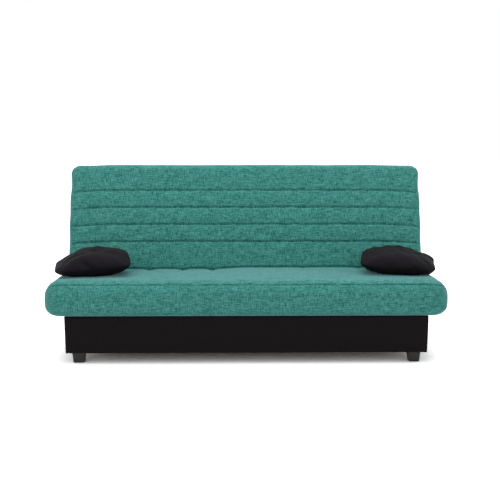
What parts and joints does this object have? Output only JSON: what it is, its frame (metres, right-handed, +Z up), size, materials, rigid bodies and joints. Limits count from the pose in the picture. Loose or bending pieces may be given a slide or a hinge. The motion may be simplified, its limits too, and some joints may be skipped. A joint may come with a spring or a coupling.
{
  "type": "sofa bed",
  "caption": "Armless click-clack sofa bed: one quilted folding mattress on sprung slat frames, ratchet-hinged over a lidded storage chest on short feet, with loose side pillows.",
  "frame": {"origin": "on the floor under the middle of the whole sofa's box, with the sofa closed", "axes": "+X along the length to the right as seen from the front, -Y to the front, +Z up"},
  "size_m": [1.9632, 0.911, 0.9368],
  "materials": {
    "chest_fabric": "black woven upholstery over board",
    "floor_board": "hardboard",
    "raw_wood": "planed softwood",
    "foot_plastic": "black moulded",
    "slat_wood": "lacquered beech ply",
    "holder_plastic": "black moulded",
    "mattress_cover": "teal slub weave, quilted",
    "pillow_fabric": "black woven",
    "bumper_rubber": "matt",
    "spring_steel": "zinc plated wire",
    "zinc_steel": "zinc plated",
    "frame_steel": "black powder coat"
  },
  "bodies": {
    "base": {"chest_front_panel": "chest_fabric", "chest_rear_panel": "chest_fabric", "chest_left_panel": "chest_fabric", "chest_right_panel": "chest_fabric", "chest_floor_panel": "floor_board", "chest_corner_blocks": "raw_wood", "rail_cleat_left": "raw_wood", "rail_cleat_right": "raw_wood", "foot_front_left": "foot_plastic", "foot_front_right": "foot_plastic", "foot_rear_left": "foot_plastic", "foot_rear_right": "foot_plastic", "foot_bolts": "zinc_steel", "lift_hinge_leaves": "zinc_steel", "lift_hinge_pins": "zinc_steel"},
    "lift_frame": {"lift_rail_left": "frame_steel", "lift_rail_right": "frame_steel", "lift_front_tube": "frame_steel", "lift_rear_tube": "frame_steel", "link_plate_left": "frame_steel", "link_plate_right": "frame_steel", "lift_hinge_straps": "zinc_steel", "seat_bumpers": "bumper_rubber", "lower_pivot_pins": "zinc_steel", "spring_anchor_pins": "zinc_steel"},
    "rear_links": {"rear_link_left": "frame_steel", "rear_link_right": "frame_steel"},
    "front_links": {"front_link_left": "frame_steel", "front_link_right": "frame_steel"},
    "springs": {"spring_left": "spring_steel", "spring_right": "spring_steel"},
    "seat": {"seat_front_tube": "frame_steel", "seat_rear_tube": "frame_steel", "seat_left_tube": "frame_steel", "seat_right_tube": "frame_steel", "seat_centre_tube": "frame_steel", "seat_link_rail_left": "frame_steel", "seat_link_rail_right": "frame_steel", "seat_link_bracket_left": "frame_steel", "seat_link_bracket_right": "frame_steel", "upper_pivot_pins": "zinc_steel", "seat_slats": "slat_wood", "seat_slat_holders": "holder_plastic", "mattress_seat_half": "mattress_cover", "ratchet_seat_arm_left": "frame_steel", "ratchet_seat_arm_right": "frame_steel", "ratchet_pins": "zinc_steel"},
    "back": {"back_lower_tube": "frame_steel", "back_upper_tube": "frame_steel", "back_left_tube": "frame_steel", "back_right_tube": "frame_steel", "back_centre_tube": "frame_steel", "back_slats": "slat_wood", "back_slat_holders": "holder_plastic", "mattress_back_half": "mattress_cover", "ratchet_back_arm_left": "frame_steel", "ratchet_back_arm_right": "frame_steel", "ratchet_pawls": "frame_steel"},
    "pillow_left": {"pillow_left": "pillow_fabric"},
    "pillow_right": {"pillow_right": "pillow_fabric"}
  },
  "joints": [
    {"name": "storage_lift", "type": "hinge", "parent": "base", "child": "lift_frame", "pos_m": [0, 0.17054, 0.2215], "axis": [-1, 0, 0], "range_deg": [0, 30]},
    {"name": "bed_fold", "type": "hinge", "parent": "lift_frame", "child": "rear_links", "pos_m": [0, -0.06146, 0.1], "axis": [1, 0, 0], "range_deg": [0, 108], "deforming": ["spring_left", "spring_right"]},
    {"name": "front_link_swing", "type": "hinge", "parent": "lift_frame", "child": "front_links", "pos_m": [0, -0.22146, 0.1], "axis": [1, 0, 0], "range_deg": [0, 108]},
    {"name": "spring_swing", "type": "hinge", "parent": "lift_frame", "child": "springs", "pos_m": [0, -0.06341, 0.07207], "axis": [1, 0, 0], "range_deg": [0, 89.15]},
    {"name": "seat_level", "type": "hinge", "parent": "rear_links", "child": "seat", "pos_m": [0, 0.08271, 0.19009], "axis": [-1, 0, 0], "range_deg": [0, 108]},
    {"name": "back_recline", "type": "hinge", "parent": "seat", "child": "back", "pos_m": [0, 0.19721, 0.317], "axis": [-1, 0, 0], "range_deg": [0, 72.8]},
    {"name": "pillow_left_lift", "type": "slide", "parent": "seat", "child": "pillow_left", "axis": [0, 0, 1], "range_m": [0, 0.3]},
    {"name": "pillow_right_lift", "type": "slide", "parent": "seat", "child": "pillow_right", "axis": [0, 0, 1], "range_m": [0, 0.3]}
  ],
  "couplings": [
    {"joint": "front_link_swing", "follows": "bed_fold", "ratio": 1},
    {"joint": "spring_swing", "follows": "bed_fold", "ratio": 0.82545},
    {"joint": "seat_level", "follows": "bed_fold", "ratio": 1},
    {"joint": "back_recline", "follows": "bed_fold", "ratio": 0.67407}
  ]
}
